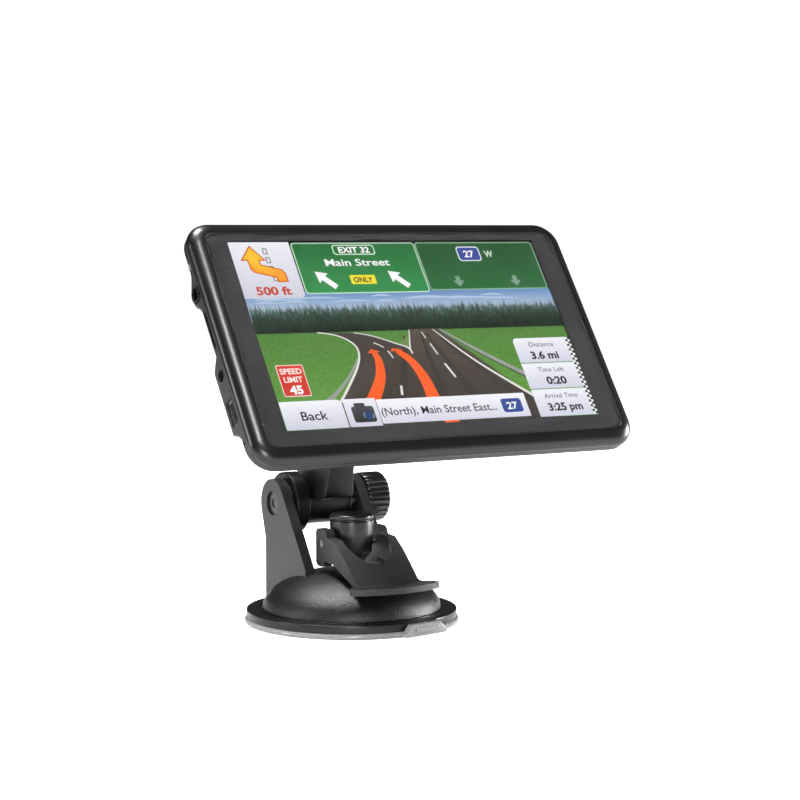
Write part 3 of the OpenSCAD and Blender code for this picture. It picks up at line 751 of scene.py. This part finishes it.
def sample(points, count):
    """A smooth run of count points through the given ones."""
    out = []
    n = len(points) - 1
    for k in range(count):
        f = n * k / (count - 1)
        i = min(int(f), n - 1)
        t = f - i
        p = [Vector(points[max(0, min(n, j))]) for j in (i - 1, i, i + 1, i + 2)]
        bend = 2 * p[0] - 5 * p[1] + 4 * p[2] - p[3]
        twist = 3 * p[1] - p[0] - 3 * p[2] + p[3]
        q = 0.5 * (2 * p[1] + (p[2] - p[0]) * t + bend * t * t + twist * t ** 3)
        out.append((q.x, q.y))
    return out


HALF_X, HALF_Y = 54.0, 32.4
WHITE, INK = (250, 250, 250), (30, 30, 36)


def landscape(pic, rnd):
    """Sky, a dark wood along the horizon, and grass."""
    pic.rect(-HALF_X, 4, HALF_X, 14.5, (92, 136, 190), (206, 218, 228))
    pic.over()
    for _ in range(18):
        x, y, w = rnd.uniform(-HALF_X, HALF_X), rnd.uniform(10.5, 13), rnd.uniform(3, 9)
        run = sample([(max(-HALF_X, x - w), y), (x, y + 0.4), (min(HALF_X, x + w), y)], 6)
        pic.band(run, [0.1, 0.4, 0.6, 0.6, 0.4, 0.1], (176, 198, 222), 0.1)
    pic.over()
    for depth, base in enumerate(((84, 108, 104), (50, 74, 62), (32, 54, 40), (24, 42, 28))):
        x = -HALF_X
        while x < HALF_X:
            w = rnd.uniform(0.35, 1.0)
            top = rnd.uniform(8.6, 10.8) - depth * 1.6
            shade = rnd.uniform(0.7, 1.25)
            tone = tuple(c * shade for c in base)
            foot = tuple(c * 0.7 for c in base)
            a, b = max(-HALF_X, x - w * 0.5), min(HALF_X, x + w * 1.5)
            m = (a + b) / 2
            pic.shape([
                (a, 0), (b, 0), (b - w * 0.15, top * 0.62), (m + w * 0.12, top * 0.94), (m, top),
                (m - w * 0.14, top * 0.9), (a + w * 0.12, top * 0.6)],
                [foot, foot, tone, tone, tone, tone, tone], 0.75)
            x += w * 0.7
        pic.over()
    pic.rect(-HALF_X, -HALF_Y, HALF_X, 0.1, (74, 128, 44), (96, 156, 54), 0.5)
    pic.over()


def roads(pic):
    tar, line = (66, 56, 48), (226, 226, 220)
    right = [
        (-2.8, 0.4), (7.4, 0.4), (20, -12.2), (33.5, -25.6), (40.5, -HALF_Y), (-37, -HALF_Y), (-32, -24),
        (-10.5, -10.5), (-4.4, -6.6)]
    shade = [tuple(c * f for c in tar) for f in (1.2, 1.2, 1.0, 0.85, 0.8, 0.75, 0.8, 1.0, 1.1)]
    pic.shape(right, shade, 0.3)
    outer = sample([
        (-34, 0.1), (-28.6, -0.9), (-24.2, -3.2), (-22.4, -6.6), (-24.4, -12), (-31, -20.5), (-36, -26)], 26)
    inner = sample([
        (-22, -0.3), (-16, -1.6), (-9, -4.4), (-4.6, -6.7), (-5, -12), (-8, -19), (-12, -26)], 26)
    for a, b, c, d in zip(outer, outer[1:], inner[1:], inner):
        pic.shape([a, b, c, d], tuple(x * 0.95 for x in tar), 0.3)
    pic.over()
    for x0, x1, y0, f in ((4, 14, -5, 0.75), (-1, 3.4, -5, 0.75), (14, 29, -13, 0.8), (-16, -11, -9, 0.8)):
        pic.shape(
            [(x0 * 0.4 + 1, y0 * 0.2), (x0 * 0.4 + 1.6, y0 * 0.2), (x1, -24), (x1 - 3.4, -24)],
            tuple(c * f for c in tar), 0.3)
    pic.over()
    pic.band(outer, [0.35 + 0.5 * k / 25 for k in range(26)], line, 0.05)
    rail = sample([(-23.5, -9.4), (-28, -15), (-34, -20.6), (-39.5, -24.4)], 14)
    pic.band(rail, [0.5 + 1.1 * k / 13 for k in range(14)], (150, 154, 146), 0.2)
    pic.band(inner[:15], [0.25 + 0.3 * k / 14 for k in range(15)], line, 0.05)
    pic.band([(-2.6, 0.3), (-4.6, -6.7)], [0.3, 0.55], line)
    pic.shape([(-8, -4.2), (-3.4, -2.0), (-4.6, -5.9)], (104, 136, 66), 0.35)
    kerb = sample([(5.6, 0.2), (17, -11.6), (33, -24.6)], 12)
    pic.band(kerb, [0.3 + 0.7 * k / 11 for k in range(12)], line, 0.05)
    barrier = sample([(8, 0.2), (20, -8.5), (33.5, -17.2)], 12)
    pic.band(barrier, [0.5 + 1.1 * k / 11 for k in range(12)], (150, 154, 148), 0.2)
    under = sample([(8.4, -0.5), (20, -9.4), (33.5, -18.4)], 12)
    pic.band(under, [0.2 + 0.3 * k / 11 for k in range(12)], (50, 52, 46), 0.2)
    lane = ((1.4, -0.6, 2.2, -3.0, 0.35), (3.0, -4.8, 4.4, -8.8, 0.5), (5.6, -12, 7.8, -17, 0.75))
    for a, b, c, d, w in lane:
        pic.band([(a, b), (c, d)], [w * 0.85, w], line)
    dash = sample([(-17.6, -3.4), (-13.4, -5.8), (-11.4, -9.6), (-11.2, -14), (-12.2, -20), (-13.2, -24)], 31)
    for k, w in ((2, 0.35), (8, 0.45), (23, 0.8)):
        pic.band(dash[k:k + 5], w, line)
    pic.over()
    route = (255, 92, 14)
    for stem, widths, wing in (
        ([(-23.2, -24), (-18.2, -16.5), (-16.7, -10.4), (-17.4, -7.4)], (4.2, 1.7), 4.4),
        ([(-2.4, -24), (-3.2, -17), (-5.6, -10.8), (-9.4, -7.0)], (4.6, 1.7), 4.6),
    ):
        run = sample(stem, 16)
        pic.band(run, [widths[0] + (widths[1] - widths[0]) * k / 15 for k in range(16)], route)
        tip, tail = Vector(run[-1]), Vector(run[-2])
        d = (tip - tail).normalized()
        d = Vector((d.x, d.y * 0.8))
        n = Vector((1, 0.12)) * wing / 2
        pic.shape([tuple(tip + n), tuple(tip + d * 1.6), tuple(tip - n)], route)
    pic.rect(-1.4, -HALF_Y, 3.6, -31.6, route)
    pic.over()


def turn_panel(pic):
    pic.panel(-HALF_X, 12.3, -33.8, HALF_Y, [0, 0, 0, 1.8], (238, 238, 246), (206, 206, 220))
    pic.over()
    bent = [
        (-47.3, 31.2), (-51.6, 25.7), (-49.4, 25.7), (-49.2, 22.6), (-48.2, 21.4), (-41.6, 19.6),
        (-41.4, 18), (-37.8, 18), (-37.9, 21.2), (-38.8, 22.6), (-45.2, 24.4), (-45.3, 25.7), (-43.1, 25.7)]
    for k in range(4):
        x, y = -42.6 + 0.25 * k, 30.2 - 3.2 * k
        pic.panel(x - 0.75, y - 2.2, x + 0.75, y, [0.2] * 4, (92, 92, 98))
    pic.over()
    for k in range(4):
        x, y = -42.6 + 0.25 * k, 30.2 - 3.2 * k
        pic.panel(x - 0.45, y - 1.9, x + 0.45, y - 0.3, [0.15] * 4, (226, 226, 234))
    pic.over()
    pic.shape(bent, (206, 84, 8))
    pic.over()
    pic.shape(shrink(bent, 0.42), [(255, 196, 40) if y > 24 else (255, 158, 24) for x, y in bent])
    pic.write("500 ft", -49.6, -38.0, 13.6, 2.9, (196, 58, 26), 0.035)


def badge(pic, x0, y0, x1, y1):
    """A plain blue plate with a number."""
    pic.over()
    pic.panel(x0, y0, x1, y1, [1.2] * 4, (232, 236, 246))
    pic.over()
    pic.panel(x0 + 0.4, y0 + 0.4, x1 - 0.4, y1 - 0.4, [0.9] * 4, (36, 66, 150))
    pic.over()
    pic.write("27", (x0 + x1) / 2 - 1.9, (x0 + x1) / 2 + 1.9, (y0 + y1) / 2 - 1.25, 2.5, WHITE)


def road_signs(pic):
    pic.over()
    pic.panel(-33.4, 13.6, 9.8, 32.1, [1.2] * 4, (190, 226, 196))
    pic.panel(10.0, 14.2, 53.7, 32.1, [1.2] * 4, (140, 184, 148))
    pic.over()
    pic.panel(-33.0, 14.0, 9.4, 31.7, [0.9] * 4, (14, 104, 40), (36, 142, 66))
    pic.panel(10.4, 14.6, 53.3, 31.7, [0.9] * 4, (8, 74, 24), (20, 100, 40))
    pic.over()
    pic.panel(-19.6, 27.6, -4.9, 31.3, [1.0] * 4, (206, 234, 210))
    for x in (-28.2, -2.9):
        pic.shape([
            (x, 21.6), (x + 4.2, 20.9), (x + 3.1, 19.9), (x + 6.6, 16.6), (x + 5.2, 15.2),
            (x + 1.7, 18.5), (x + 0.6, 17.4)], WHITE)
    for x in (21.3, 42.4):
        pic.shape([
            (x - 0.8, 19.3), (x + 0.8, 19.3), (x + 0.8, 17.6), (x + 2.1, 17.6), (x, 15.4),
            (x - 2.1, 17.6), (x - 0.8, 17.6)], (122, 164, 132))
    pic.write("Main Street", -23.6, -1.2, 23.6, 2.6, WHITE, 0.015)
    pic.panel(-16.8, 16.9, -8.0, 20.2, [0.4] * 4, (236, 222, 30))
    pic.write("W", 34.4, 37.6, 26.4, 2.4, (206, 226, 210))
    pic.over()
    pic.panel(-19.2, 28.0, -5.3, 30.9, [0.8] * 4, (18, 108, 44))
    pic.write("ONLY", -15.8, -9.1, 17.6, 1.9, (40, 40, 8))
    badge(pic, 24.4, 24.9, 32.9, 30.4)
    pic.write("EXIT 32", -17.6, -6.8, 28.4, 2.1, WHITE)


def speed_sign(pic):
    pic.panel(-51.4, -21.4, -42.5, -10.7, [0.5] * 4, (250, 214, 204))
    pic.over()
    pic.panel(-51.1, -21.1, -42.8, -11.0, [0.4] * 4, (222, 52, 30), (206, 40, 24))
    pic.over()
    pic.write("SPEED", -50.5, -43.4, -13.8, 1.9, (255, 232, 226))
    pic.write("LIMIT", -50.0, -43.9, -16.6, 1.9, (255, 232, 226))
    pic.write("45", -49.1, -44.8, -20.5, 2.8, WHITE, 0.045)


def bottom_bar(pic):
    pic.panel(-HALF_X, -HALF_Y, -33.8, -23.0, [1.6, 0, 0, 0], (244, 244, 250), (208, 208, 224))
    pic.panel(-33.4, -HALF_Y, -22.6, -23.0, [0.3] * 4, (240, 240, 248), (206, 206, 222))
    pic.panel(-22.4, -31.8, 29.4, -23.6, [0.4] * 4, (246, 246, 252), (216, 216, 230))
    pic.over()
    pic.write("Back", -48.2, -39.6, -29.4, 3.0, INK, 0.015)
    pic.write("(North), Main Street East...", -21.8, 18.2, -29.1, 2.7, INK, 0.01)
    pic.panel(-31.4, -31.0, -24.0, -25.6, [0.8] * 4, (66, 66, 72), (26, 26, 30))
    pic.panel(-30.2, -25.9, -26.6, -24.5, [0.4] * 4, (54, 54, 58))
    pic.shape(arc(-26.2, -28.9, 1.9, 0, 345, 23), (120, 128, 140))
    pic.over()
    pic.shape(arc(-26.2, -28.9, 1.3, 0, 345, 23), (30, 62, 120))
    badge(pic, 19.8, -30.6, 27.8, -25.0)


def trip_panels(pic):
    rows = ((-4.2, -13.1, "Distance", (38.0, 47.2), "3.6 mi", (37.4, 47.6)),
            (-13.4, -22.5, "Time Left", (38.0, 47.4), "0:20", (39.6, 47.0)),
            (-22.8, -HALF_Y, "Arrival Time", (36.6, 48.8), "3:25 pm", (36.6, 49.2)))
    for k, (top, foot, label, label_x, value, value_x) in enumerate(rows):
        pic.panel(32.6, foot, HALF_X, top, [0, 1.6 if k == 0 else 0, 0, 0], (242, 242, 250), (212, 212, 228))
    pic.over()
    for top, foot, label, label_x, value, value_x in rows:
        pic.write(label, label_x[0], label_x[1], top - 3.2, 1.75, (40, 40, 50), 0.0)
        pic.write(value, value_x[0], value_x[1], top - 7.6, 2.7, INK, 0.035)
    size = 0.85
    for i in range(33):
        for j in range(2):
            tone = (18, 18, 18) if (i + j) % 2 else (246, 246, 246)
            x, y = HALF_X - size * (2 - j), -4.2 - size * i
            pic.rect(x, y - size, x + size, y, tone)


def picture():
    pic = Picture()
    landscape(pic, random.Random(7))
    roads(pic)
    turn_panel(pic)
    road_signs(pic)
    speed_sign(pic)
    bottom_bar(pic)
    trip_panels(pic)
    finish_piece(pic.finish(), "picture", "unit", (), smooth=0)
    # the cell the picture is shown on
    bm = bmesh.new()
    prism(bm, rrect(58.4 - 1, 33.8 - 1, 1, 3, CASE_DROP), -1.9, -0.66, UNIT, 0.1, 1)
    finish_piece(object_from("display_cell", bm), "cell", "unit", ("lcd_panel",))


# ---------------------------------------------------------------- the base


def dome_side(wall, degrees):
    """Points up the dome's side, moved inwards by wall."""
    return [
        ((DOME_R - wall) * math.cos(t), FLANGE_Z + (DOME_H - wall) * math.sin(t))
        for t in (math.radians(a) for a in degrees)]


def domed_cover():
    """Domed cover, with slots for the fork's arms and room for its foot."""
    bm = bmesh.new()
    outer = dome_side(0, range(0, 79, 3))
    rim = [(5.9, 17.0), (5.6, 17.2), (4.9, 17.2), (4.45, 17.0), (4.3, 16.6), (4.3, 13.0)]
    top = [(r, z) for r, z in outer if r > 6.4]
    inner = [(r, z) for r, z in dome_side(1.8, range(78, -1, -3)) if r > 6.2]
    foot = [(DOME_R - 0.25, FLANGE_Z - 0.02), (DOME_R, FLANGE_Z + 0.25)]
    section = foot + top[1:] + rim + [(6.0, 13.0)] + inner
    revolve(bm, section + [section[0]], steps=128)
    bmesh.ops.remove_doubles(bm, verts=bm.verts, dist=1e-4)
    obj = object_from("domed_cover", bm)
    tool = bmesh.new()
    for s in (-1, 1):
        a, b = sorted((s * (FORK_X - ARM_T - 0.12), s * (FORK_X + 0.12)))
        box_mesh(tool, (a, 1.9, 1), (b, 31, 30))
    foot_room = bmesh.new()
    box_mesh(foot_room, (-FORK_X + 1, 18, 1), (FORK_X - 1, 31, FLANGE_Z + 3.2))
    cut(obj, [tool, foot_room])
    finish_piece(obj, "dome", "base", ("base_cover",))


def flange_plate():
    bm = bmesh.new()
    lip = DOME_R + 0.3
    section = rounded([
        (12.1, FLANGE_Z), (lip, FLANGE_Z), (lip, FLANGE_Z - 0.35), (lip + 0.7, FLANGE_Z - 0.35),
        (lip + 0.7, FLANGE_Z), (FLANGE_R, FLANGE_Z), (FLANGE_R, CUP_T), (12.1, CUP_T)], 0.25, 3)
    revolve(bm, section + [section[0]], steps=144)
    bmesh.ops.remove_doubles(bm, verts=bm.verts, dist=1e-4)
    obj = object_from("flange_plate", bm)
    tool = bmesh.new()
    box_mesh(tool, (-6.6, -36, 1), (6.6, -33.1, 6), Matrix.Rotation(math.radians(11), 4, "Z"), 0.5)
    cut(obj, [tool])
    finish_piece(obj, "flange", "base", ("base_plate",))


def clear_cup():
    """Clear soft cup and its pull tab."""
    bm = bmesh.new()
    section = [
        (12.2, 0.8), (25, 0.6), (29, 0.0), (33.9, 0.0), (34.3, 0.25), (CUP_R, 0.7), (34.35, 1.2),
        (34.0, 1.6), (33.6, CUP_T - 0.04), (12.2, CUP_T - 0.04)]
    section = rounded(section, 0.3, 3)
    revolve(bm, section + [section[0]], steps=144)
    bmesh.ops.remove_doubles(bm, verts=bm.verts, dist=1e-4)
    finish_piece(object_from("clear_cup", bm), "cup", "base", ("suction_cup",))
    bm = bmesh.new()
    turn = Matrix.Rotation(math.radians(11), 4, "Z")
    upright = turn @ Matrix.Rotation(math.radians(90), 4, "X")
    tab = [
        (-8.4, 0.3), (8.4, 0.3), (8.2, 1.5), (6.4, 3.4), (5.8, 4.05), (-5.8, 4.05), (-6.4, 3.4), (-8.2, 1.5)]
    prism(bm, rounded(tab, 0.5, 4, True), 33.5, 36.0, upright, 0.3, 3)
    grip = [(-4.8, 1.5), (4.8, 1.5), (4.8, 3.1), (-4.8, 3.1)]
    prism(bm, rounded(grip, 0.35, 3, True), 35.6, 36.5, upright, 0.25, 3)
    finish_piece(object_from("pull_tab", bm), "cup", "base", ())


def plunger_post():
    bm = bmesh.new()
    section = [
        (0, 4.62), (7.6, 4.62), (7.6, 5.6), (SHAFT_R, 5.7), (SHAFT_R, 19.4), (POST_R - 0.6, 22.4),
        (POST_R, 28.0), (POST_R, 32.5), (POST_R - 0.45, 32.7), (POST_R - 0.45, 33.0), (POST_R, 33.2),
        (POST_R, 34.1), (POST_R - 0.5, 34.5), (0, 34.5)]
    revolve(bm, rounded(section, 0.3, 4), steps=96)
    finish_piece(object_from("plunger_post", bm), "post", "plunger", ("plunger",))


def clamp_knob():
    """Knob with rounded grooves round its rim and a dished end."""
    bm = bmesh.new()
    # radius, height along the axis, and how deep the grooves are there
    levels = [
        (3.2, 16.3, 0), (KNOB_R - 0.9, 16.3, 0), (KNOB_R - 0.35, 16.45, 0.3), (KNOB_R, 16.9, 1),
        (KNOB_R, 23.8, 1), (KNOB_R - 0.1, 24.2, 1), (KNOB_R - 0.45, 24.65, 0.8), (KNOB_R - 1.1, 25.0, 0.3),
        (KNOB_R - 1.9, 25.08, 0), (5.5, 25.05, 0), (5.25, 24.8, 0), (5.2, 24.3, 0), (0.01, 24.3, 0)]
    per_rib = 12
    steps = RIBS * per_rib
    loops = []
    for r, z, groove in levels:
        loop = []
        for i in range(steps):
            t = 2 * math.pi * i / steps
            phase = (i % per_rib) / per_rib
            dip = max(0.0, math.cos((phase - 0.5) * 2 * math.pi)) ** 1.6
            rr = r - GROOVE * groove * dip
            loop.append(ON_PIVOT @ Vector((rr * math.cos(t), rr * math.sin(t), z)))
        loops.append(loop)
    loft(bm, loops, True, True)
    finish_piece(object_from("clamp_knob", bm), "knob", "knob", ("knob",), smooth=50)


def bent_arm():
    """Barrel and collar on the pivot, the bent neck and the ball at its end."""
    bm = bmesh.new()
    elbow = [
        (8.2, 38.2), (6.2, 48), (4.6, 53), (-13.8, 68.1), (-6.3, 78.7), (20.4, 63.2), (26, 57), (28, 48),
        (30, 37)]
    outline = rounded(elbow, 2.6, 6, True)
    thick, thin = 5.5, 4.5
    part = bmesh.new()
    prism(part, outline, -thick, thick, SIDEWAYS, 0.7, 3)
    for v in part.verts:
        half = thick - (thick - thin) * step(v.co.z, 36, 52)
        v.co.x *= half / thick
    tmp = bpy.data.meshes.new("tmp")
    part.to_mesh(tmp)
    part.free()
    bm.from_mesh(tmp)
    bpy.data.meshes.remove(tmp)
    collar = rounded([(0, -11.4), (10, -11.4), (10, -6.5), (0, -6.5)], 0.4, 4)
    revolve(bm, collar, ON_PIVOT, 72)
    barrel = rounded([(2.1, -11.4), (BARREL_R, -11.4), (BARREL_R, 9.4), (2.1, 9.4)], 0.5, 4, True)
    revolve(bm, barrel + [(2.1, -11.15)], ON_PIVOT, 72)
    ball = UNIT @ Matrix.Translation((0, 0, -BALL_D))
    side_of_ball = [
        (BALL_R * math.cos(math.radians(a)), BALL_R * math.sin(math.radians(a)))
        for a in range(90, -61, -5)]
    revolve(bm, side_of_ball + [(4.2, -7.6), (4.2, -12.5), (5.0, -13.4), (0, -13.4)], ball, 72)
    finish_piece(object_from("bent_arm", bm), "arm", "arm", ("neck_arm",), smooth=45)


def add_floor():
    bm = bmesh.new()
    bmesh.ops.create_grid(bm, x_segments=2, y_segments=2, size=3.0)
    mesh = bpy.data.meshes.new("floor")
    bm.to_mesh(mesh)
    bm.free()
    obj = bpy.data.objects.new("floor", mesh)
    bpy.context.scene.collection.objects.link(obj)
    mat, nodes, links, bsdf = new_material("floor_paper")
    bsdf.inputs["Base Color"].default_value = (0.93, 0.93, 0.93, 1)
    bsdf.inputs["Roughness"].default_value = 0.9
    bsdf.inputs["Emission Color"].default_value = (1, 1, 1, 1)
    seen = nodes.new("ShaderNodeLightPath")
    level = nodes.new("ShaderNodeMapRange")
    level.inputs["To Min"].default_value = 0.1
    links.new(seen.outputs["Is Camera Ray"], level.inputs["Value"])
    links.new(level.outputs["Result"], bsdf.inputs["Emission Strength"])
    mesh.materials.append(mat)


def add_light(name, at, aim, size, power, size_y=None):
    data = bpy.data.lights.new(name, "AREA")
    data.shape = "RECTANGLE"
    data.size = size
    data.size_y = size_y or size
    data.energy = power
    obj = bpy.data.objects.new(name, data)
    obj.location = at
    obj.rotation_euler = (Vector(aim) - Vector(at)).to_track_quat("-Z", "Y").to_euler()
    bpy.context.scene.collection.objects.link(obj)


# light of the room, beside the soft boxes
ROOM = 0.04


def studio():
    """White sweep seen by the camera, a dim room for everything else, and five soft boxes."""
    world = bpy.data.worlds.new("studio")
    world.use_nodes = True
    nodes, links = world.node_tree.nodes, world.node_tree.links
    seen = nodes.new("ShaderNodeLightPath")
    level = nodes.new("ShaderNodeMapRange")
    level.inputs["To Min"].default_value = ROOM
    level.inputs["To Max"].default_value = 1.15
    links.new(seen.outputs["Is Camera Ray"], level.inputs["Value"])
    links.new(level.outputs["Result"], nodes["Background"].inputs["Strength"])
    nodes["Background"].inputs["Color"].default_value = (1, 1, 1, 1)
    bpy.context.scene.world = world
    bpy.context.scene.view_settings.view_transform = "Standard"
    add_light("top_box", (-0.1, 0.3, 1.2), (0, 0, 0.09), 0.3, 20, 0.45)
    add_light("front_box", (-0.3, -0.75, 1.35), (0, 0, 0.06), 0.14, 14, 0.5)
    add_light("left_box", (-0.62, -1.15, 0.26), (0, 0, 0.06), 0.12, 8, 0.3)
    add_light("right_box", (1.05, -0.22, 0.1), (0, 0, 0.08), 0.12, 20, 0.5)
    add_light("side_box", (-1.1, 0.25, 0.35), (0, 0, 0.05), 0.2, 5, 0.5)


add_camera()
bezel()
glass_and_mask()
rear_shell()
picture()
domed_cover()
flange_plate()
clear_cup()
plunger_post()
clamp_knob()
bent_arm()
soften("clip_body", "clip_plate", "clip", "unit", 0.35)
soften("release_tab", "latch_tab", "clip", "latch", 0.25)
soften("fork_arms", "fork_bracket", "fork", "base", 0.4)
soften("cam_lever", "lever", "lever", "lever", 0.4)
soften("ring_teeth", "tooth_ring", "teeth", "arm", 0.15)
soften("top_button", "power_button", "jack", "button", 0.25)
for node_name, mat_name in {
    "backlight": "backlight", "mid_plate": "plate", "main_board": "board", "board_chips": "chips",
    "shield_can": "plate", "battery": "battery", "speaker": "plate", "gps_antenna": "ceramic",
    "microphone": "plate", "status_lens": "lens", "headphone_jack": "jack", "card_socket": "plate",
    "memory_card": "card", "av_jack": "jack", "usb_port": "plate", "power_switch": "plate",
    "cover_screws": "screws", "socket_liner": "liner", "friction_washer": "fibre",
    "clamp_bolt": "bolt", "thrust_washer": "screws", "knob_insert": "brass", "knob_cap": "knob",
    "base_screws": "screws", "cup_disc": "disc", "return_spring": "spring", "lever_pin": "screws",
}.items():
    dress(node_name, mat_name)
add_floor()
studio()
